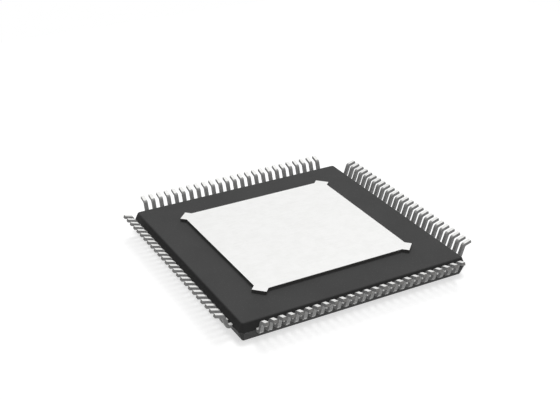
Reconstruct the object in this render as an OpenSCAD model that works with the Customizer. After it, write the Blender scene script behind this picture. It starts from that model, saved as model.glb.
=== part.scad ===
// Quad flat pack chip: a moulded epoxy body with gull-wing leads on all four sides and a metal
// pad standing out of its underside. Leads point down and +Z comes out of the marked top face.
// The origin is the package centre on the plane that the lead feet stand on. Millimetres.
// Leads are numbered anticlockwise, seen from the top, from the corner with the white dot.

/* [Body] */
// Width and length of the moulding at its parting line
body_w = 14; // [12:0.1:20]
// Height of the parting line above the plane of the feet
parting_z = 0.925; // [0.85:0.005:1.2]
// Height of the moulding above the parting line
cap_h = 0.6; // [0.5:0.01:1.2]
// Depth of the moulding below the parting line
base_h = 0.5; // [0.4:0.01:0.6]
// Draft of the moulding's sides, above and below the parting line
draft_deg = 21; // [5:0.5:25]
// Radius of the edges round the top and bottom faces
edge_r = 0.1; // [0.04:0.01:0.2]
// Flat across each vertical corner, measured along the diagonal
corner_flat = 0.14; // [0.05:0.01:0.4]

/* [Leads] */
// Distance between the centres of neighbouring leads
lead_pitch = 0.5; // [0.4:0.01:0.8]
// Least distance along a side from the moulding's corner to the middle of the first lead
corner_room = 1; // [0.9:0.01:2]
// Width of a lead outside the moulding
lead_w = 0.21; // [0.15:0.01:0.27]
// Thickness of the lead frame's thin sheet
lead_t = 0.18; // [0.1:0.01:0.2]
// How far the tip of a foot stands out from the moulding's parting line
lead_reach = 0.95; // [0.85:0.01:1.4]
// Length of the foot, from the heel's corner to the tip
foot_len = 0.47; // [0.35:0.01:0.6]
// Slope of the foot, down towards its tip
foot_tilt = 16.5; // [0:0.5:20]
// Length of the flat shoulder between the moulding and the first bend
shoulder_len = 0.25; // [0.2:0.01:0.3]
// Inside radius of both bends
bend_r = 0.08; // [0.04:0.01:0.1]

/* [Inner fingers] */
// Width of the finger that each lead has inside the moulding
finger_w = 0.17; // [0.1:0.01:0.2]
// Distance along the row of finger tips from its last finger to the middle of the tie bar
finger_corner = 0.65; // [0.5:0.01:1.2]
// Gap in plan between the finger tips and the edge of the pad
finger_gap = 0.45; // [0.3:0.01:0.6]
// Depth inside the moulding at which the fingers start to fan inwards
fan_depth = 0.5; // [0.4:0.01:0.6]

/* [Exposed pad] */
// Width and length of the pad
pad_w = 9.53; // [8:0.01:10]
// Thickness of the pad
pad_t = 0.35; // [0.3:0.01:0.4]
// How far the pad stands out of the moulding's underside
pad_proud = 0.19; // [0.05:0.01:0.22]
// Width of the ear across each corner of the pad
ear_w = 0.8; // [0.5:0.01:1.2]
// Width of the tie bar that runs from each ear towards the moulding's corner
tie_bar_w = 0.3; // [0.2:0.01:0.4]
// Moulding left between the end of a tie bar and the corner
tie_bar_cover = 0.3; // [0.2:0.01:0.6]
// Moulding left under a tie bar beside its ear
tie_bar_skin = 0.06; // [0.04:0.005:0.08]

/* [Die] */
// Width and length of the silicon die
die_w = 5.2; // [3:0.1:6.5]
// Thickness of the die
die_t = 0.25; // [0.15:0.01:0.3]
// Thickness of the glue line under the die
glue_t = 0.03; // [0.02:0.005:0.05]
// Width of the glue fillet that shows round the die
glue_margin = 0.12; // [0.05:0.01:0.3]

/* [Bond wires] */
// Thickness of a bond wire
wire_d = 0.03; // [0.02:0.005:0.04]
// Height of the wire loop above the die
wire_loop_h = 0.25; // [0.22:0.01:0.35]
// Distance from the edge of the die to the wire's foot on it
wire_inset = 0.12; // [0.06:0.01:0.3]
// Distance along the die's edge from its corner to the first wire's foot
die_corner = 0.32; // [0.25:0.01:0.8]
// Length of the stitch that lies on the finger
stitch_len = 0.12; // [0.08:0.01:0.2]

/* [Pin 1 dot] */
// Radius of the white dot
dot_r = 0.34; // [0.2:0.01:0.5]
// Distance from the moulding's parting line to the dot's centre, both ways
dot_inset = 1; // [0.9:0.01:2]
// Depth of the dimple that the ink fills
dot_depth = 0.03; // [0.02:0.005:0.06]

/* [Hidden] */

SIDES = 4;             // sides of the package
GROUPS = 5;            // sets of leads on a side, each set one node
ARC_STEPS = 4;         // straight pieces in a rounded bend or edge

top_z = parting_z + cap_h;
bottom_z = parting_z - base_h;
pad_z = bottom_z - pad_proud;
pad_top_z = pad_z + pad_t;
die_z = pad_top_z + glue_t;
die_top_z = die_z + die_t;
finger_top_z = parting_z + lead_t / 2;

body_edge = body_w / 2;
pad_edge = pad_w / 2;
finger_tip = pad_edge + finger_gap;
fan_start = body_edge - fan_depth;
root_overlap = 0.1;    // length over which a finger lies inside its lead's flat root
leads_per_side = floor((body_w - 2 * corner_room) / lead_pitch + 0.001) + 1;
mid_lead = (leads_per_side - 1) / 2;
finger_pitch = (finger_tip - finger_corner) / mid_lead;
die_pitch = (die_w / 2 - die_corner) / mid_lead;

charcoal = [0.27, 0.27, 0.28];
tin = [0.78, 0.78, 0.79];
pad_silver = [0.93, 0.93, 0.93];
gold = [0.86, 0.68, 0.3];
silicon = [0.35, 0.36, 0.42];
silver_glue = [0.6, 0.6, 0.58];

// ---- Outlines ----

function unit(v) = v / norm(v);

function left_normal(a, b) = let (d = unit(b - a)) [-d.y, d.x];

// The path moved sideways by d, to the left of its direction, with mitred corners
function beside(path, d) = [
  for (i = [0 : len(path) - 1])
    let (
      before = left_normal(path[max(i - 1, 0)], path[max(i, 1)]),
      after = left_normal(path[min(i, len(path) - 2)], path[min(i + 1, len(path) - 1)])
    )
    path[i] + d * (before + after) / (1 + before * after)
];

// The arc of radius r that replaces corner b on the way from a to c
function rounded(a, b, c, r) =
  let (
    back = unit(a - b),
    on = unit(c - b),
    half = acos(back * on) / 2,
    centre = b + unit(back + on) * r / sin(half),
    start = b + back * r / tan(half) - centre,
    first = atan2(start.y, start.x),
    turn = cross(back, on) < 0 ? 180 - 2 * half : 2 * half - 180
  )
  [for (k = [0 : ARC_STEPS]) centre + r * [cos(first + turn * k / ARC_STEPS),
                                           sin(first + turn * k / ARC_STEPS)]];

// A strip of even width along a path, with sharp corners
module strip(path, width) {
  near_side = beside(path, width / 2);
  far_side = beside(path, -width / 2);
  polygon(concat(near_side, [for (i = [len(path) - 1 : -1 : 0]) far_side[i]]));
}

// A sheet of thickness t bent twice: over at path[1], back at path[2], with inside radius r
module bent_sheet(path, t, r) {
  o = beside(path, t / 2);
  u = beside(path, -t / 2);
  polygon(concat(
    [o[0]], rounded(o[0], o[1], o[2], r + t), rounded(o[1], o[2], o[3], r), [o[3]],
    [u[3]], rounded(u[3], u[2], u[1], r + t), rounded(u[2], u[1], u[0], r), [u[0]]));
}

// Stands an outline drawn as (distance out, height) up on edge, centred across its width
module on_edge(width) {
  rotate([90, 0, 0]) linear_extrude(width, center = true) children();
}

// ---- Moulding ----

// Section through the moulding: two drafted halves that meet at the parting line
module mould_section(half_w) {
  face_top = half_w - cap_h * tan(draft_deg);
  face_bottom = half_w - base_h * tan(draft_deg);
  p = [[half_w, parting_z], [face_top, top_z], [-face_top, top_z],
       [-half_w, parting_z], [-face_bottom, bottom_z], [face_bottom, bottom_z]];
  polygon(concat(
    [p[0]], rounded(p[0], p[1], p[2], edge_r), rounded(p[1], p[2], p[3], edge_r),
    [p[3]], rounded(p[3], p[4], p[5], edge_r), rounded(p[4], p[5], p[0], edge_r)));
}

// The outer form: the section in both directions, and across the corners for their flats
module mould_form() {
  long = body_w * 2;
  intersection() {
    on_edge(long) mould_section(body_edge);
    rotate(90) on_edge(long) mould_section(body_edge);
    for_corners = body_edge * sqrt(2) - corner_flat;
    rotate(45) on_edge(long) mould_section(for_corners);
    rotate(-45) on_edge(long) mould_section(for_corners);
  }
}

module mould_body() {
  color(charcoal) difference() {
    mould_form();
    for (side = [0 : SIDES - 1]) {
      lead_row(side, 0, leads_per_side - 1);
      wire_row(side);
    }
    pad_solid();
    glue_solid();
    die_solid();
    dot_solid();
  }
}

// ---- Leads ----

// The part of a lead from its root in the moulding out to the tip of the foot
module gull_wing() {
  up_from_face = lead_t / 2 * [sin(foot_tilt), cos(foot_tilt)];
  tip = [body_edge + lead_reach - up_from_face.x, up_from_face.y];
  heel = tip + foot_len * [-cos(foot_tilt), sin(foot_tilt)];
  on_edge(lead_w)
    bent_sheet([[fan_start, parting_z], [body_edge + shoulder_len, parting_z], heel, tip],
               lead_t, bend_r);
}

// The finger that fans in from the root towards the pad; i counts from the middle lead
module finger(i) {
  across = i * lead_pitch;
  translate([0, 0, parting_z - lead_t / 2])
    linear_extrude(lead_t)
      strip([[finger_tip, i * finger_pitch], [fan_start, across],
             [fan_start + root_overlap, across]], finger_w);
}

// Leads first to last of one side, anticlockwise. Side 0 faces -Y.
module lead_row(side, first, last) {
  rotate(90 * side - 90)
    for (n = [first : last]) {
      i = n - mid_lead;
      union() {
        translate([0, i * lead_pitch, 0]) gull_wing();
        finger(i);
      }
    }
}

// One node's leads: the first lead of each set on a side, and the sets in turn from lead 1
function set_start(set) = floor(set * leads_per_side / GROUPS);

module lead_group(group) {
  set = group % GROUPS;
  color(tin) lead_row(floor(group / GROUPS), set_start(set), set_start(set + 1) - 1);
}

module leads_01_05() lead_group(0);
module leads_06_10() lead_group(1);
module leads_11_15() lead_group(2);
module leads_16_20() lead_group(3);
module leads_21_25() lead_group(4);
module leads_26_30() lead_group(5);
module leads_31_35() lead_group(6);
module leads_36_40() lead_group(7);
module leads_41_45() lead_group(8);
module leads_46_50() lead_group(9);
module leads_51_55() lead_group(10);
module leads_56_60() lead_group(11);
module leads_61_65() lead_group(12);
module leads_66_70() lead_group(13);
module leads_71_75() lead_group(14);
module leads_76_80() lead_group(15);
module leads_81_85() lead_group(16);
module leads_86_90() lead_group(17);
module leads_91_95() lead_group(18);
module leads_96_100() lead_group(19);

// ---- Exposed pad ----

// A bar bent up from the pad's ear to the parting line, drawn along the diagonal
module tie_bar() {
  ear_end = pad_edge * sqrt(2);
  low_z = bottom_z + tie_bar_skin + lead_t / 2;
  rise_start = ear_end + lead_t / 2;
  rise_end = rise_start + parting_z - low_z;
  bar_end = body_edge * sqrt(2) - corner_flat - tie_bar_cover;
  on_edge(tie_bar_w)
    strip([[ear_end - ear_w / 2, low_z], [rise_start, low_z],
           [rise_end, parting_z], [bar_end, parting_z]], lead_t);
}

module pad_solid() {
  ear_end = pad_edge * sqrt(2);
  translate([0, 0, pad_z]) linear_extrude(pad_t) {
    square(pad_w - sqrt(2) * ear_w, center = true);
    for (side = [0 : SIDES - 1]) rotate(90 * side) {
      translate([0, -pad_edge + ear_w / sqrt(2)])
        square([pad_edge, pad_w - sqrt(2) * ear_w]);
    }
    for (corner = [45, 135]) rotate(corner)
      square([2 * ear_end, ear_w], center = true);
  }
  for (side = [0 : SIDES - 1]) rotate(45 + 90 * side) tie_bar();
}

module exposed_pad() {
  color(pad_silver) pad_solid();
}

// ---- Die ----

module glue_solid() {
  glue_w = die_w + 2 * glue_margin;
  translate([-glue_w / 2, -glue_w / 2, pad_top_z]) cube([glue_w, glue_w, glue_t]);
}

module die_solid() {
  translate([-die_w / 2, -die_w / 2, die_z]) cube([die_w, die_w, die_t]);
}

module die_attach() {
  color(silver_glue) glue_solid();
}

module silicon_die() {
  color(silicon) die_solid();
}

// ---- Bond wires ----

// One wire: up from the die, over and down to a stitch lying on the finger
module wire(i) {
  from = [die_w / 2 - wire_inset, i * die_pitch];
  to = [finger_tip + stitch_len, i * finger_pitch + (i * lead_pitch - i * finger_pitch)
        * stitch_len / (fan_start - finger_tip)];
  run = norm(to - from);
  loop_z = die_top_z + wire_loop_h;
  stitch_z = finger_top_z + wire_d / 2;
  translate(from) rotate(atan2(to.y - from.y, to.x - from.x))
    on_edge(wire_d)
      strip([[0, die_top_z], [0, loop_z], [run / 4, loop_z],
             [run - stitch_len, stitch_z], [run, stitch_z]], wire_d);
}

module wire_row(side) {
  rotate(90 * side - 90)
    for (n = [0 : leads_per_side - 1]) wire(n - mid_lead);
}

module bond_wires_01_25() { color(gold) wire_row(0); }
module bond_wires_26_50() { color(gold) wire_row(1); }
module bond_wires_51_75() { color(gold) wire_row(2); }
module bond_wires_76_100() { color(gold) wire_row(3); }

// ---- Pin 1 dot ----

module dot_solid() {
  at = -body_edge + dot_inset;
  translate([at, at, top_z - dot_depth]) cylinder(h = dot_depth, r = dot_r, $fn = 48);
}

module pin_one_dot() {
  color("white") dot_solid();
}

mould_body();
exposed_pad();
die_attach();
silicon_die();
pin_one_dot();
leads_01_05();
leads_06_10();
leads_11_15();
leads_16_20();
leads_21_25();
leads_26_30();
leads_31_35();
leads_36_40();
leads_41_45();
leads_46_50();
leads_51_55();
leads_56_60();
leads_61_65();
leads_66_70();
leads_71_75();
leads_76_80();
leads_81_85();
leads_86_90();
leads_91_95();
leads_96_100();
bond_wires_01_25();
bond_wires_26_50();
bond_wires_51_75();
bond_wires_76_100();
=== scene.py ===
# %% [markdown]
# # Quad flat pack chip
# A flat square moulding with bent leads on all four sides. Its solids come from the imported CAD
# model. This lesson points a camera at them, lights them, gives every piece its finish, and adds
# the burrs that a trimming tool leaves on the leads. Everything is in metres, in the frame of the
# CAD model: the lead feet stand on z = 0, and +Z comes out of the marked top face.

# %% Load the frame
import math

import bpy
from mathutils import Matrix, Vector


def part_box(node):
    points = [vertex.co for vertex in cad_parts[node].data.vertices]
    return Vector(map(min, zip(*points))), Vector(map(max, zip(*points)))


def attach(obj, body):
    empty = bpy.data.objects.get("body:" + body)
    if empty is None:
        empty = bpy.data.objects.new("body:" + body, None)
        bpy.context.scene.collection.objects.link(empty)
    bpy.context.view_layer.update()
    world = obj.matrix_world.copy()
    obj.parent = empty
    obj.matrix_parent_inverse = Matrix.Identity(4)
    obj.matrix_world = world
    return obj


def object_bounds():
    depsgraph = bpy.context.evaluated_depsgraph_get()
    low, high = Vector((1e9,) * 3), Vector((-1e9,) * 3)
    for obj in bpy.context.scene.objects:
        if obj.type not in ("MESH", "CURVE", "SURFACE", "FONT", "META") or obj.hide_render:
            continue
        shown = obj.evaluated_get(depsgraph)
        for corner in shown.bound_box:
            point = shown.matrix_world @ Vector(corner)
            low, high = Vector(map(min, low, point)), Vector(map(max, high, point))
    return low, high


MM = 0.001

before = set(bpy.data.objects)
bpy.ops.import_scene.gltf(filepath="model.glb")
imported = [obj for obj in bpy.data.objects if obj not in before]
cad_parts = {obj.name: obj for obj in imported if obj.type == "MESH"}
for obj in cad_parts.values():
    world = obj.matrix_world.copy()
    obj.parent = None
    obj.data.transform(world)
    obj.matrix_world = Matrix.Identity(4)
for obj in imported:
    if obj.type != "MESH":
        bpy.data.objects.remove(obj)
cad_box = [list(corner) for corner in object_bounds()]
size_mm = [(high - low) / MM for low, high in zip(*cad_box)]
print("pieces:", len(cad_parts), "- size in mm:", [round(s, 2) for s in size_mm])

# %% [markdown]
# ## Where the main forms lie
# A finish has to know where its piece begins and ends. These places could be typed in, but then a
# change to the CAD model would leave them behind, so they are measured on its meshes. The moulding
# is widest at the parting line, where its two halves meet, and the sheet that the leads are cut
# from lies centred on that line.

# %% Measure the moulding
def corners(node_name):
    """Every corner of a node's mesh."""
    return [vertex.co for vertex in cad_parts[node_name].data.vertices]


BODY_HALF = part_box("mould_body")[1].x
TOP_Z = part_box("mould_body")[1].z
PARTING_Z = max(corners("mould_body"), key=lambda corner: corner.x).z
print("body", round(2 * BODY_HALF / MM, 2), "mm wide, top face at", round(TOP_Z / MM, 3),
      "mm, parting line at", round(PARTING_Z / MM, 3), "mm")

# %% Measure the leads
TINY = 0.001 * MM

SHEET = 2 * (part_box("leads_01_05")[1].z - PARTING_Z)
TIP = -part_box("leads_01_05")[0].y
tip_edges = sorted({round(c.x, 7) for c in corners("leads_01_05") if c.y < TINY - TIP})
LEAD_W = tip_edges[1] - tip_edges[0]
PITCH = tip_edges[2] - tip_edges[0]
FIRST_LEAD_X = (tip_edges[0] + tip_edges[1]) / 2
LEADS_PER_SIDE = round(-2 * FIRST_LEAD_X / PITCH) + 1
print(LEADS_PER_SIDE, "leads a side, pitch", round(PITCH / MM, 3), "mm, each",
      round(LEAD_W / MM, 3), "mm wide, of sheet", round(SHEET / MM, 3), "mm thick")

# %% [markdown]
# ## Colour on screen and colour in a shader
# Shaders work in linear light, where a dark grey is about 0.05. That says little to the eye, which
# knows the same grey as 63 of 255 on a screen. So the finishes are written as screen tones, and a
# helper turns each one into linear light.

# %% Helper for colours
def tone(red, green=None, blue=None):
    """A colour from screen values of 0 to 255, as linear light with alpha."""
    screen = (red, red if green is None else green, red if blue is None else blue)
    linear = [c / 255 / 12.92 if c <= 10 else ((c / 255 + 0.055) / 1.055) ** 2.4 for c in screen]
    return (*linear, 1.0)


print("screen tone 63 in linear light:", round(tone(63)[0], 3))

# %% [markdown]
# ## The camera
# The chip shows most of what it is from below: the bare metal pad, the drafted underside and the
# inside of every bent lead. The chip could be turned over for this, but its solids stay where the
# CAD model has them. So the camera goes under the plane of the feet instead, and is itself turned
# over, so that the underside faces up in the frame, like a chip laid on its back.

# %% Camera
LOOK_AT = Vector((-0.14, -1.35, -1.165)) * MM
LOOK_ALONG = Vector((0.4321, -0.7803, 0.4521)).normalized()
CAMERA_AWAY = 61.3 * MM
DOWN = Vector((0, 0, -1))

camera_data = bpy.data.cameras.new("camera")
camera_data.sensor_width = 36.0
camera_data.lens = 68.6
camera_data.clip_start = 1 * MM
camera_data.clip_end = 10.0
camera = bpy.data.objects.new("camera", camera_data)
bpy.context.scene.collection.objects.link(camera)

across = LOOK_ALONG.cross(DOWN).normalized()
upward = across.cross(LOOK_ALONG)
turn = Matrix((across, upward, -LOOK_ALONG)).transposed().to_4x4()
camera.matrix_world = Matrix.Translation(LOOK_AT - LOOK_ALONG * CAMERA_AWAY) @ turn
bpy.context.scene.camera = camera
print("camera at", [round(v / MM, 1) for v in camera.matrix_world.translation], "mm")

# %% [markdown]
# ## Building with nodes
# A node made and wired by hand takes four or five lines, and the floors, the world and the
# finishes below need hundreds. A few short helpers keep that readable: one adds a node, one feeds
# a socket, one does a sum, one turns a value into a soft mask, and one blends two colours by it.
# Where a mask is multiplied by a number on its way into a blend, the number says how strongly the
# second colour shows.

# %% Helpers: add and feed
def add(tree, kind, **settings):
    """A node with its settings. A setting named like a socket is put on that socket."""
    node = tree.nodes.new("ShaderNode" + kind)
    for name, value in settings.items():
        socket = name.replace("_", " ").title()
        if socket in node.inputs:
            node.inputs[socket].default_value = value
        else:
            setattr(node, name, value)
    return node


def feed(tree, term, socket):
    """Puts a number, a colour or another node's output on a socket."""
    if isinstance(term, bpy.types.NodeSocket):
        tree.links.new(term, socket)
    else:
        socket.default_value = term


print("helpers:", add.__name__, feed.__name__)

# %% Helpers: sums
def sums(tree, operation, *terms):
    """One Math node on numbers or other nodes' outputs."""
    node = add(tree, "Math", operation=operation)
    for term, socket in zip(terms, node.inputs):
        feed(tree, term, socket)
    return node.outputs[0]


def times(tree, first, second):
    return sums(tree, "MULTIPLY", first, second)


def one_minus(tree, value):
    return sums(tree, "SUBTRACT", 1.0, value)


print("helpers:", sums.__name__, times.__name__, one_minus.__name__)

# %% Helpers: masks and blends
def mask(tree, value, low, high):
    """0 below low, 1 above high, and a soft step between them."""
    node = add(tree, "MapRange", interpolation_type="SMOOTHSTEP", From_Min=low, From_Max=high)
    feed(tree, value, node.inputs["Value"])
    return node.outputs[0]


def blend(tree, factor, first, second):
    """The first colour where the factor is 0, and the second where it is 1."""
    node = add(tree, "Mix", data_type="RGBA")
    for term, number in ((factor, 0), (first, 6), (second, 7)):
        feed(tree, term, node.inputs[number])
    return node.outputs[2]


print("helpers:", mask.__name__, blend.__name__)

# %% [markdown]
# ## A floor for each way up
# The chip is looked at from above, standing on its feet, and from below, lying on its back. One
# ordinary floor would hide it from one of the two. So there are two pale floors, one under the
# feet and one against the marked face, and each is see-through from behind: a camera only ever
# meets the one that the chip rests on. Only the camera sees them, because the metal mirrors the
# equally white world. Each ends where the lamps still light it fully white, so it meets the world
# without a line.

# %% Material: pale floor
FLOOR_GREY = 0.6
FLOOR_GLOW = 0.6

pale = bpy.data.materials.new("floor")
pale.use_nodes = True
tree = pale.node_tree
tree.nodes.clear()
surface = add(tree, "BsdfDiffuse", Color=(FLOOR_GREY, FLOOR_GREY, FLOOR_GREY, 1))
glow = add(tree, "Emission", Strength=FLOOR_GLOW)
front = add(tree, "AddShader")
feed(tree, surface.outputs[0], front.inputs[0])
feed(tree, glow.outputs[0], front.inputs[1])
clear = add(tree, "BsdfTransparent")
pick = add(tree, "MixShader")
feed(tree, add(tree, "NewGeometry").outputs["Backfacing"], pick.inputs[0])
feed(tree, front.outputs[0], pick.inputs[1])
feed(tree, clear.outputs[0], pick.inputs[2])
feed(tree, pick.outputs[0], add(tree, "OutputMaterial").inputs["Surface"])
print("material:", pale.name, "-", len(tree.nodes), "nodes")

# %% Floors
FLOOR_HALF = 45 * MM
FLOOR_GAP = 0.02 * MM
UNSEEN_BY = ("diffuse", "glossy", "transmission", "shadow", "volume_scatter")


def make_floor(name, height, faces_up):
    """A square sheet with its front towards +Z or -Z."""
    h = FLOOR_HALF
    rim = [(-h, -h, height), (h, -h, height), (h, h, height), (-h, h, height)]
    mesh = bpy.data.meshes.new(name)
    mesh.from_pydata(rim, [], [(0, 1, 2, 3) if faces_up else (3, 2, 1, 0)])
    mesh.materials.append(pale)
    sheet = bpy.data.objects.new(name, mesh)
    bpy.context.scene.collection.objects.link(sheet)
    for ray in UNSEEN_BY:
        setattr(sheet, "visible_" + ray, False)
    return sheet


floor_under_feet = make_floor("floor_under_feet", -FLOOR_GAP, True)
floor_at_marked_face = make_floor("floor_at_marked_face", TOP_Z + FLOOR_GAP, False)
print("floors:", floor_under_feet.name, floor_at_marked_face.name)

# %% [markdown]
# ## The lamps
# A broad key lamp and a weaker fill hang above the chip, and a like pair hangs below it, because
# both its faces are looked at. Small lamps would give hard shadows and hot spots on the metal, and
# broad discs give the even light of a light tent. Their levels are plain ones, at which a finish
# renders about as bright as it is written.

# %% Lamps
LAMP_WIDTH = 90 * MM


def lamp(name, place, watts):
    """A disc lamp that faces the chip."""
    data = bpy.data.lights.new(name, "AREA")
    data.shape = "DISK"
    data.size = LAMP_WIDTH
    data.energy = watts
    obj = bpy.data.objects.new(name, data)
    obj.location = place
    obj.rotation_euler = (-Vector(place)).to_track_quat("-Z", "Y").to_euler()
    bpy.context.scene.collection.objects.link(obj)


for name, x, y, z, watts in (
    ("key_above", 35, -35, 140, 0.105),
    ("fill_above", -10, 40, 125, 0.03),
    ("key_below", 35, -35, -140, 0.12),
    ("fill_below", 0, 55, -120, 0.03),
):
    lamp(name, (x * MM, y * MM, z * MM), watts)

# %% [markdown]
# ## The world
# The background is white, but a white world would also flood the chip with light. Light Path tells
# the rays apart: the camera, reflections and glass see white, and as a light the world is a soft
# grey.

# %% World
WHITE = (1, 1, 1, 1)
WORLD_SEEN = 1.0
WORLD_LIGHT = 0.22

world = bpy.data.worlds.new("studio")
bpy.context.scene.world = world
world.use_nodes = True
tree = world.node_tree
tree.nodes.clear()
ray = add(tree, "LightPath").outputs
sees_white = sums(tree, "MAXIMUM", ray["Is Camera Ray"], ray["Is Glossy Ray"])
sees_white = sums(tree, "MAXIMUM", sees_white, ray["Is Transmission Ray"])
soft_light = add(tree, "Background", Color=WHITE, Strength=WORLD_LIGHT)
seen = add(tree, "Background", Color=WHITE, Strength=WORLD_SEEN)
pick = add(tree, "MixShader")
feed(tree, sees_white, pick.inputs[0])
feed(tree, soft_light.outputs[0], pick.inputs[1])
feed(tree, seen.outputs[0], pick.inputs[2])
feed(tree, pick.outputs[0], add(tree, "OutputWorld").inputs["Surface"])
bpy.context.scene.view_settings.view_transform = "Standard"
print("world:", world.name, "-", len(tree.nodes), "nodes")

# %% [markdown]
# ## Groups: one effect for several materials
# Grain, plating and the way a surface faces matter to several finishes. They could be copied into
# each, but a group is built once, and each material places it with values of its own. A group
# gives out only values and normals, and the Principled shader stays in the material.

# %% Helpers: groups
def new_group(name, inputs, outputs):
    """An empty shader group. Its inputs are numbers; its outputs are named with their kinds."""
    tree = bpy.data.node_groups.new(name, "ShaderNodeTree")
    for label, value in inputs.items():
        socket = tree.interface.new_socket(label, in_out="INPUT", socket_type="NodeSocketFloat")
        socket.default_value = value
    for label, kind in outputs.items():
        tree.interface.new_socket(label, in_out="OUTPUT", socket_type="NodeSocket" + kind)
    given = tree.nodes.new("NodeGroupInput").outputs
    return tree, given, tree.nodes.new("NodeGroupOutput").inputs


def use(tree, group, **settings):
    """A group placed in a material, with some of its inputs set."""
    node = tree.nodes.new("ShaderNodeGroup")
    node.node_tree = group
    for name, value in settings.items():
        node.inputs[name.replace("_", " ")].default_value = value
    return node.outputs


print("helpers:", new_group.__name__, use.__name__)

# %% Helpers: a material and a place on it
def new_material(name):
    """A material, its node tree and the sockets of its Principled shader."""
    material = bpy.data.materials.new(name)
    material.use_nodes = True
    return material, material.node_tree, material.node_tree.nodes["Principled BSDF"].inputs


def object_place(tree):
    """Where a point is on the object, in metres."""
    return add(tree, "TexCoord").outputs["Object"]


print("helpers:", new_material.__name__, object_place.__name__)

# %% [markdown]
# ## Which way a surface faces
# The finishes paint tones of light and shade by which way a face points: lighter on the level
# faces of the lead sheet as painted light, and greyer on its leaning and sheared faces and darker
# on the moulding's drafted sides and the pad's walls as painted shade. Each face could be given a
# slot of its own, but the CAD meshes are left alone. So this group tells the faces apart by the
# object's own normals. Flat is 1 on a level face and 0 on an upright wall. Sheared is 1 on the cut
# edge of a lead: on the rows along X those edges face along X, and on the other two rows along Y.
# Out and Height are the distances from the middle of the chip and from the plane of its feet.

# %% Group: facing
facing, _, out = new_group(
    "facing", {}, {"Flat": "Float", "Sheared": "Float", "Out": "Float", "Height": "Float"})
place = add(facing, "TexCoord")
at = add(facing, "SeparateXYZ")
turned = add(facing, "SeparateXYZ")
facing.links.new(place.outputs["Object"], at.inputs[0])
facing.links.new(place.outputs["Normal"], turned.inputs[0])
x, y = (sums(facing, "ABSOLUTE", axis) for axis in at.outputs[:2])
nx, ny, nz = (sums(facing, "ABSOLUTE", axis) for axis in turned.outputs)
row_along_x = sums(facing, "GREATER_THAN", y, x)
row_along_y = one_minus(facing, row_along_x)
sheared = sums(facing, "ADD", times(facing, nx, row_along_x), times(facing, ny, row_along_y))
feed(facing, nz, out["Flat"])
feed(facing, sheared, out["Sheared"])
feed(facing, sums(facing, "MAXIMUM", x, y), out["Out"])
feed(facing, at.outputs[2], out["Height"])
print("group:", facing.name, "-", len(facing.nodes), "nodes")

# %% [markdown]
# ## Grain of a moulding
# The mould's cavity is spark eroded, and the compound is full of fine glass filler. So the surface
# has a fine rough grain, pale specks of filler, and slow clouds where the resin flowed. The grain
# is far too fine to model, so noise makes it as a bump, and round cells make the specks. Clouds and
# specks are sized in grains, so one input sets the scale of the whole skin.

# %% Group: moulded grain
CLOUD_IN_GRAINS = 60
SPECK_IN_GRAINS = 3

grain, given, out = new_group(
    "moulded_grain", {"Grain size": 0.05, "Depth": 0.004},
    {"Grain": "Float", "Specks": "Float", "Cloud": "Float", "Normal": "Vector"})
place = object_place(grain)
per_grain = sums(grain, "DIVIDE", 1 / MM, given["Grain size"])
fine = add(grain, "TexNoise", Detail=3.0, Roughness=0.65)
cloud = add(grain, "TexNoise", Detail=3.0, Roughness=0.5)
filler = add(grain, "TexVoronoi", Randomness=1.0)
for node, in_grains in ((fine, 1), (cloud, CLOUD_IN_GRAINS), (filler, SPECK_IN_GRAINS)):
    grain.links.new(place, node.inputs["Vector"])
    feed(grain, times(grain, per_grain, 1 / in_grains), node.inputs["Scale"])
bump = add(grain, "Bump", Strength=0.6)
feed(grain, times(grain, given["Depth"], MM), bump.inputs["Distance"])
grain.links.new(fine.outputs[0], bump.inputs["Height"])
feed(grain, mask(grain, fine.outputs[0], 0.3, 0.7), out["Grain"])
feed(grain, one_minus(grain, mask(grain, filler.outputs["Distance"], 0.1, 0.25)), out["Specks"])
feed(grain, mask(grain, cloud.outputs[0], 0.3, 0.7), out["Cloud"])
feed(grain, bump.outputs[0], out["Normal"])
print("group:", grain.name, "-", len(grain.nodes), "nodes")

# %% [markdown]
# ## Plated sheet
# The lead frame is rolled copper alloy, stamped and plated. Rolling leaves fine lines along one
# direction of the sheet, the plating is a skin of small matte crystals, and handling stains it.
# Stretched noise makes the lines, because rolled lines are long and uneven and a wave would be too
# regular. Cells make the crystals, and a slow noise makes the stains.

# %% Group: patterns of the plated sheet
LINE_STRETCH = (0.06, 1, 1)

plating, given, out = new_group(
    "plated_sheet",
    {"Line spacing": 0.03, "Crystal size": 0.02, "Stain size": 1.0, "Depth": 0.002},
    {"Lines": "Float", "Crystals": "Float", "Stain": "Float", "Normal": "Vector"})
place = object_place(plating)
stretched = add(plating, "VectorMath", operation="MULTIPLY")
stretched.inputs[1].default_value = LINE_STRETCH
plating.links.new(place, stretched.inputs[0])
lines = add(plating, "TexNoise", Detail=2.0, Roughness=0.5)
crystals = add(plating, "TexVoronoi", Randomness=1.0)
stain = add(plating, "TexNoise", Detail=4.0, Roughness=0.6)
for node, where, size in (
    (lines, stretched.outputs[0], "Line spacing"),
    (crystals, place, "Crystal size"),
    (stain, place, "Stain size"),
):
    plating.links.new(where, node.inputs["Vector"])
    feed(plating, sums(plating, "DIVIDE", 1 / MM, given[size]), node.inputs["Scale"])
print("patterns:", len(plating.nodes), "nodes")

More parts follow.
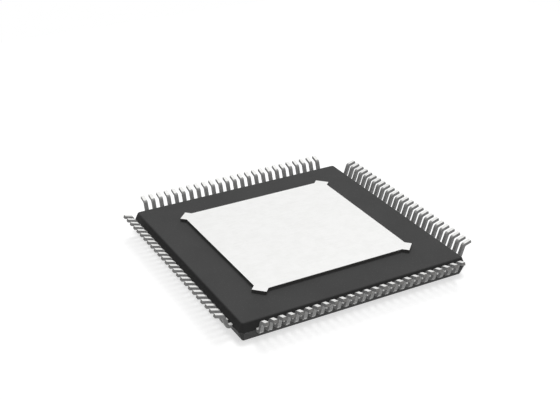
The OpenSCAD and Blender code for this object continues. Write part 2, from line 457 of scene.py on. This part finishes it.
# %% Group: what the plated sheet gives out
shade = add(plating, "SeparateColor")
plating.links.new(crystals.outputs["Color"], shade.inputs[0])
bump = add(plating, "Bump", Strength=0.5)
feed(plating, times(plating, given["Depth"], MM), bump.inputs["Distance"])
feed(plating, sums(plating, "ADD", lines.outputs[0], shade.outputs[0]), bump.inputs["Height"])
feed(plating, mask(plating, lines.outputs[0], 0.3, 0.7), out["Lines"])
feed(plating, shade.outputs[0], out["Crystals"])
feed(plating, mask(plating, stain.outputs[0], 0.35, 0.7), out["Stain"])
feed(plating, bump.outputs[0], out["Normal"])
print("group:", plating.name, "-", len(plating.nodes), "nodes")

# %% [markdown]
# ## The moulding
# Charcoal epoxy. The drafted sides are painted a shade darker than the faces, as painted shade,
# and a thin smoother line runs round where the two halves of the mould met. Both follow the
# form, so they come from the normal and the height, and not from painted maps.

# %% Material: epoxy moulding
SEAM_CORE, SEAM_EDGE = 0.008 * MM, 0.02 * MM  # half widths of the parting line
charcoal, cloudy, grain_peak = tone(56), tone(63), tone(68)
glass_filler, drafted_side_painted_shade, parting_line = tone(120, 120, 118), tone(46), tone(84, 84, 86)

epoxy, tree, shader = new_material("epoxy_moulding")
way = use(tree, facing)
skin = use(tree, grain, Grain_size=0.05, Depth=0.004)
resin = blend(tree, skin["Cloud"], charcoal, cloudy)
resin = blend(tree, times(tree, skin["Grain"], 0.5), resin, grain_peak)
resin = blend(tree, times(tree, skin["Specks"], 0.12), resin, glass_filler)
# This mask darkens the drafted sides: painted shade, not a colour of the resin.
side = one_minus(tree, mask(tree, way["Flat"], 0.4, 0.95))
resin = blend(tree, times(tree, side, 0.65), resin, drafted_side_painted_shade)
from_seam = sums(tree, "ABSOLUTE", sums(tree, "SUBTRACT", way["Height"], PARTING_Z))
seam = one_minus(tree, mask(tree, from_seam, SEAM_CORE, SEAM_EDGE))
resin = blend(tree, times(tree, seam, 0.5), resin, parting_line)
feed(tree, resin, shader["Base Color"])
dull = sums(tree, "ADD", times(tree, skin["Grain"], 0.12), 0.68)
feed(tree, sums(tree, "SUBTRACT", dull, times(tree, seam, 0.2)), shader["Roughness"])
feed(tree, skin["Normal"], shader["Normal"])
shader["Specular IOR Level"].default_value = 0.2
print("material:", epoxy.name, "-", len(tree.nodes), "nodes")

# %% [markdown]
# ## Tin on the leads
# The feet are painted nearly white as painted light, and the shoulders a little less. The leaning
# shanks and the sheared edges are painted a duller grey as painted shade, and the cut at each tip
# is duller still. One plain metal would make them all alike. So one material reads which way the
# surface faces, how high it lies and how far out, and serves all 100 leads.

# %% Material: the tin's colour
FEET_END, SHOULDERS_START = 1.5 * SHEET, 2.5 * SHEET  # heights
CUT_STARTS, CUT_FULL = TIP - 0.06 * MM, TIP - 0.05 * MM  # distances out
# Lit and shaded copies of one tin: feet and shoulders lighter as painted light, shanks and sheared
# edges greyer as painted shade.
shank_painted_shade, shank_painted_shade_stained = tone(152, 152, 151), tone(138, 138, 136)
foot_painted_light, shoulder_painted_light = tone(240, 240, 238), tone(196, 196, 194)
rolled_line, bright_crystal = tone(150), tone(250)
sheared_edge_painted_shade, trimmed_tip = tone(168), tone(150, 148, 145)

tin, tree, shader = new_material("tin_plating")
way = use(tree, facing)
sheet = use(tree, plating, Line_spacing=0.03, Crystal_size=0.02, Depth=0.002)
metal = blend(tree, times(tree, sheet["Stain"], 0.4), shank_painted_shade, shank_painted_shade_stained)
# Level faces get the lighter tones of painted light, the feet most.
flats_painted_light = blend(tree, mask(tree, way["Height"], FEET_END, SHOULDERS_START), foot_painted_light, shoulder_painted_light)
metal = blend(tree, mask(tree, way["Flat"], 0.75, 0.95), metal, flats_painted_light)
metal = blend(tree, times(tree, sheet["Lines"], 0.12), metal, rolled_line)
metal = blend(tree, times(tree, sheet["Crystals"], 0.15), metal, bright_crystal)
# Sheared faces get a grey of their own: painted shade.
edge = mask(tree, way["Sheared"], 0.5, 0.9)
metal = blend(tree, times(tree, edge, 0.85), metal, sheared_edge_painted_shade)
at_tip = mask(tree, way["Out"], CUT_STARTS, CUT_FULL)
flat_or_edge = mask(tree, sums(tree, "MAXIMUM", way["Flat"], way["Sheared"]), 0.4, 0.6)
cut = times(tree, at_tip, one_minus(tree, flat_or_edge))
metal = blend(tree, times(tree, cut, 0.6), metal, trimmed_tip)
feed(tree, metal, shader["Base Color"])
print("colour of", tin.name, "-", len(tree.nodes), "nodes")

# %% Material: the tin's surface
rougher = times(tree, sums(tree, "MAXIMUM", edge, sheet["Crystals"]), 0.12)
feed(tree, sums(tree, "ADD", rougher, 0.55), shader["Roughness"])
feed(tree, sheet["Normal"], shader["Normal"])
shader["Metallic"].default_value = 0.2
shader["Specular IOR Level"].default_value = 0.3
print("material:", tin.name, "-", len(tree.nodes), "nodes")

# %% [markdown]
# ## The pad
# Its face is plated like the leads, but wiped clean of resin and nearly white. The low walls
# round it are painted dark as painted shade, and the metal fades out on them.

# %% Material: pad plating
wiped_face, stained_face = tone(242, 242, 241), tone(229, 229, 227)
face_line, dust, walls_painted_shade = tone(205), tone(214, 212, 208), tone(40, 39, 38)

pad, tree, shader = new_material("pad_plating")
way = use(tree, facing)
sheet = use(tree, plating, Line_spacing=0.05, Crystal_size=0.06, Stain_size=0.5, Depth=0.001)
skin = use(tree, grain, Grain_size=0.08, Depth=0.002)
face = blend(tree, times(tree, sheet["Stain"], 0.3), wiped_face, stained_face)
face = blend(tree, times(tree, sheet["Lines"], 0.08), face, face_line)
face = blend(tree, times(tree, skin["Specks"], 0.1), face, dust)
# The walls are painted dark, as painted shade, and lose their metal.
wall = one_minus(tree, mask(tree, way["Flat"], 0.4, 0.8))
feed(tree, blend(tree, times(tree, wall, 0.93), face, walls_painted_shade), shader["Base Color"])
rougher = times(tree, sheet["Crystals"], 0.1)
feed(tree, sums(tree, "ADD", rougher, 0.5), shader["Roughness"])
feed(tree, times(tree, one_minus(tree, wall), 0.25), shader["Metallic"])
feed(tree, sheet["Normal"], shader["Normal"])
shader["Specular IOR Level"].default_value = 0.25
print("material:", pad.name, "-", len(tree.nodes), "nodes")

# %% [markdown]
# ## The ink dot
# The dot marks the first lead. It is a print of white ink that stops just short of the rim of its
# dimple, where the bare moulding shows as a thin ring, painted darker than the moulding as painted
# shade of the rim. The ring could be a piece of its own, but it has no thickness, so the distance
# from the dot's middle tells the ink from the ring.

# %% Material: white ink
INK_ENDS, RING_STARTS = 0.79, 0.83  # shares of the dimple's radius
white_paint, thin_paint = tone(252, 252, 250), tone(238, 238, 236)
pinhole, bare_ring_painted_shade = tone(190), tone(46)

ink, tree, shader = new_material("white_ink")
skin = use(tree, grain, Grain_size=0.04, Depth=0.003)
paint = blend(tree, times(tree, skin["Cloud"], 0.4), white_paint, thin_paint)
paint = blend(tree, times(tree, skin["Specks"], 0.15), paint, pinhole)
dot_low, dot_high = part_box("pin_one_dot")
dot_radius = (dot_high.x - dot_low.x) / 2
middle = ((dot_low.x + dot_high.x) / 2, (dot_low.y + dot_high.y) / 2, dot_high.z)
from_middle = add(tree, "VectorMath", operation="DISTANCE")
from_middle.inputs[1].default_value = middle
tree.links.new(object_place(tree), from_middle.inputs[0])
# Outside the ink the ring is bare moulding, painted darker than the moulding as painted shade of
# the dimple's rim.
ring = mask(tree, from_middle.outputs["Value"], INK_ENDS * dot_radius, RING_STARTS * dot_radius)
feed(tree, blend(tree, ring, paint, bare_ring_painted_shade), shader["Base Color"])
feed(tree, skin["Normal"], shader["Normal"])
shader["Roughness"].default_value = 0.6
shader["Specular IOR Level"].default_value = 0.25
print("material:", ink.name, "- dot radius", round(dot_radius / MM, 3), "mm")

# %% [markdown]
# ## Silver glue
# The die is stuck to the pad with a paste of silver flakes in epoxy. The moulding hides it, but it
# has a finish too, for a view with the moulding taken away. The flakes are the specks of the same
# grain group, and they are the only metal in it, so the specks drive Metallic as well as colour.

# %% Material: silver glue
paste_pale, paste_dark, silver_flake = tone(160, 159, 154), tone(146, 145, 141), tone(214, 214, 212)

glue, tree, shader = new_material("silver_glue")
skin = use(tree, grain, Grain_size=0.03, Depth=0.004)
paste = blend(tree, skin["Cloud"], paste_pale, paste_dark)
feed(tree, blend(tree, skin["Specks"], paste, silver_flake), shader["Base Color"])
feed(tree, times(tree, skin["Specks"], 0.8), shader["Metallic"])
feed(tree, skin["Normal"], shader["Normal"])
shader["Roughness"].default_value = 0.5
print("material:", glue.name, "-", len(tree.nodes), "nodes")

# %% [markdown]
# ## The silicon die
# A die is a polished slice of silicon with its circuit laid out in blocks, and narrow metal lanes
# run between them. A brick pattern gives the blocks and lanes in one node, and a smooth, half
# metallic surface gives the sheen of the polished slice.

# %% Material: silicon
slice_blue, slice_grey, metal_lane = tone(84, 88, 104), tone(98, 98, 112), tone(140, 136, 120)

silicon, tree, shader = new_material("silicon")
skin = use(tree, grain, Grain_size=0.08, Depth=0.0005)
blocks = add(tree, "TexBrick", Scale=1 / MM, Mortar_Size=0.006, Brick_Width=0.5, Row_Height=0.3)
tree.links.new(object_place(tree), blocks.inputs["Vector"])
polished = blend(tree, skin["Cloud"], slice_blue, slice_grey)
feed(tree, blend(tree, blocks.outputs["Fac"], polished, metal_lane), shader["Base Color"])
shader["Metallic"].default_value = 0.6
shader["Roughness"].default_value = 0.2
print("material:", silicon.name, "-", len(tree.nodes), "nodes")

# %% [markdown]
# ## Gold wire
# The bond wires are drawn gold, thinner than a hair. Drawing leaves the same kind of fine lines as
# rolling does, so the plated sheet's group serves here too, with closer lines and less depth.

# %% Material: gold wire
bright_gold, deep_gold = tone(232, 188, 98), tone(216, 168, 84)

gold, tree, shader = new_material("gold_wire")
drawn = use(tree, plating, Line_spacing=0.01, Crystal_size=0.03, Depth=0.0005)
feed(tree, blend(tree, drawn["Stain"], bright_gold, deep_gold), shader["Base Color"])
feed(tree, drawn["Normal"], shader["Normal"])
shader["Metallic"].default_value = 1.0
shader["Roughness"].default_value = 0.25
print("material:", gold.name, "-", len(tree.nodes), "nodes")

# %% [markdown]
# ## Dressing the pieces
# The CAD model's pieces arrive with plain materials. Their meshes stay as they are, and each one's
# only slot gets the finish of its kind: the 20 groups of leads and the 4 groups of bond wires are
# found by their names.

# %% Dress the pieces
def dress(node_names, material):
    """Gives each of these nodes one material."""
    for node_name in node_names:
        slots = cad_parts[node_name].data.materials
        slots.clear()
        slots.append(material)


dress(["mould_body"], epoxy)
dress([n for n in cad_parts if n.startswith("leads_")], tin)
dress(["exposed_pad"], pad)
dress(["pin_one_dot"], ink)
dress(["die_attach"], glue)
dress(["silicon_die"], silicon)
dress([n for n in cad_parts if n.startswith("bond_wires_")], gold)
print("dressed", len(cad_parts), "nodes")

# %% [markdown]
# ## Stubs of the dam bar
# Until the leads are trimmed, a thin bar joins them all, to stop the resin at the moulding's edge.
# The punch leaves a short stub of it on both edges of every lead, close to the moulding. Two
# hundred stubs could be placed in a Python loop, but Geometry Nodes keep the rule in view: one
# stub, repeated on both edges of each lead, along a row, and on all four sides. Its sizes are
# named inputs, and a fixed seed makes each stub a little different in the same way every time.

# %% Geometry Nodes: the stub's inputs
STUB_OUT = 0.07 * MM  # from the moulding's edge to the middle of a stub
STUB_LENGTH = 0.06 * MM
STUB_PROUD = 0.03 * MM
STUB_THICKNESS = 0.85 * SHEET

stubs_tree = bpy.data.node_groups.new("repeat_stubs", "GeometryNodeTree")
stub_values = {}
for label, kind, value in (
    ("Leads", "Int", LEADS_PER_SIDE),
    ("Pitch", "Float", PITCH),
    ("Lead width", "Float", LEAD_W),
    ("Out", "Float", BODY_HALF + STUB_OUT),
    ("Height", "Float", PARTING_Z),
    ("Length", "Float", STUB_LENGTH),
    ("Proud", "Float", STUB_PROUD),
    ("Thickness", "Float", STUB_THICKNESS),
    ("Seed", "Int", 7),
    ("Finish", "Material", tin),
):
    socket = stubs_tree.interface.new_socket(
        label, in_out="INPUT", socket_type="NodeSocket" + kind)
    stub_values[socket.identifier] = value
stubs_tree.interface.new_socket("Stubs", in_out="OUTPUT", socket_type="NodeSocketGeometry")
given = stubs_tree.nodes.new("NodeGroupInput").outputs
result = stubs_tree.nodes.new("NodeGroupOutput").inputs
print("inputs:", [socket.name for socket in given if socket.name])

# %% Geometry Nodes: helpers
def step(kind, inputs=(), **settings):
    """A geometry node: settings first, then its inputs by name or number."""
    node = stubs_tree.nodes.new(kind)
    for name, value in settings.items():
        setattr(node, name, value)
    for key, term in dict(inputs).items():
        feed(stubs_tree, term, node.inputs[key])
    return node.outputs


def reckon(operation, first, second):
    return step("ShaderNodeMath", {0: first, 1: second}, operation=operation)[0]


def vector(x=0.0, y=0.0, z=0.0):
    return step("ShaderNodeCombineXYZ", {0: x, 1: y, 2: z})[0]


print("helpers:", step.__name__, reckon.__name__, vector.__name__)

# %% [markdown]
# ## One row of stubs
# A stub is a small block, a little thinner than the sheet, so that it stays between the lead's two
# faces. A line of points along each edge of the leads gives their places, and one block is put on
# every point, some larger and some smaller, as a worn punch leaves them. Half of each block is
# buried in its lead, so that the stub grows out of it.

# %% Geometry Nodes: one row
SMALLEST, LARGEST = (0.5, 0.8, 0.9), (1.2, 1.1, 1.0)  # scales: proud, along the lead, thick

half_row = reckon("MULTIPLY", reckon("SUBTRACT", given["Leads"], 1),
                  reckon("MULTIPLY", given["Pitch"], 0.5))
stub_size = vector(reckon("MULTIPLY", given["Proud"], 2), given["Length"], given["Thickness"])
stub = step("GeometryNodeMeshCube", {"Size": stub_size})["Mesh"]
row = stubs_tree.nodes.new("GeometryNodeJoinGeometry")
for edge in (-0.5, 0.5):
    start_x = reckon("SUBTRACT", reckon("MULTIPLY", given["Lead width"], edge), half_row)
    start = vector(start_x, reckon("MULTIPLY", given["Out"], -1), given["Height"])
    line = step("GeometryNodeMeshLine", {"Count": given["Leads"], "Start Location": start,
                                         "Offset": vector(given["Pitch"])})["Mesh"]
    stubs_tree.links.new(line, row.inputs[0])
uneven = step("FunctionNodeRandomValue", {0: SMALLEST, 1: LARGEST, "Seed": given["Seed"]},
              data_type="FLOAT_VECTOR")[0]
one_side = step("GeometryNodeInstanceOnPoints",
                {"Points": row.outputs[0], "Instance": stub, "Scale": uneven})[0]
print("nodes so far:", len(stubs_tree.nodes))

# %% Geometry Nodes: all four sides
sides = step("GeometryNodeMeshLine", {"Count": 4, "Offset": (0, 0, 0)})["Mesh"]
quarter_turn = reckon("MULTIPLY", step("GeometryNodeInputIndex")[0], math.pi / 2)
all_round = step("GeometryNodeInstanceOnPoints",
                 {"Points": sides, "Instance": one_side,
                  "Rotation": vector(0.0, 0.0, quarter_turn)})[0]
real = step("GeometryNodeRealizeInstances", {0: all_round})[0]
finished = step("GeometryNodeSetMaterial", {"Geometry": real, "Material": given["Finish"]})[0]
feed(stubs_tree, finished, result[0])
print("geometry nodes:", len(stubs_tree.nodes))

# %% [markdown]
# ## From nodes to a plain mesh
# The tree could stay live on the piece, but other programs only read meshes. So it is put on the
# piece as a modifier, its inputs are set, the result is copied out as a mesh, and the modifier
# goes. The stubs then ride on the chip's only body.

# %% Make the stubs a plain mesh
stubs = bpy.data.objects.new("dam_bar_stubs", bpy.data.meshes.new("stub_maker"))
bpy.context.scene.collection.objects.link(stubs)
repeat = stubs.modifiers.new("repeat", "NODES")
repeat.node_group = stubs_tree
for identifier, value in stub_values.items():
    repeat[identifier] = value
evaluated = stubs.evaluated_get(bpy.context.evaluated_depsgraph_get())
plain = bpy.data.meshes.new_from_object(evaluated)
plain.name = "dam_bar_stubs"
plain.materials.clear()
plain.materials.append(tin)
stubs.modifiers.remove(repeat)
stubs.data = plain
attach(stubs, "root")
print("stubs:", len(stubs.data.polygons) // 6, "in", stubs.data.materials[0].name)
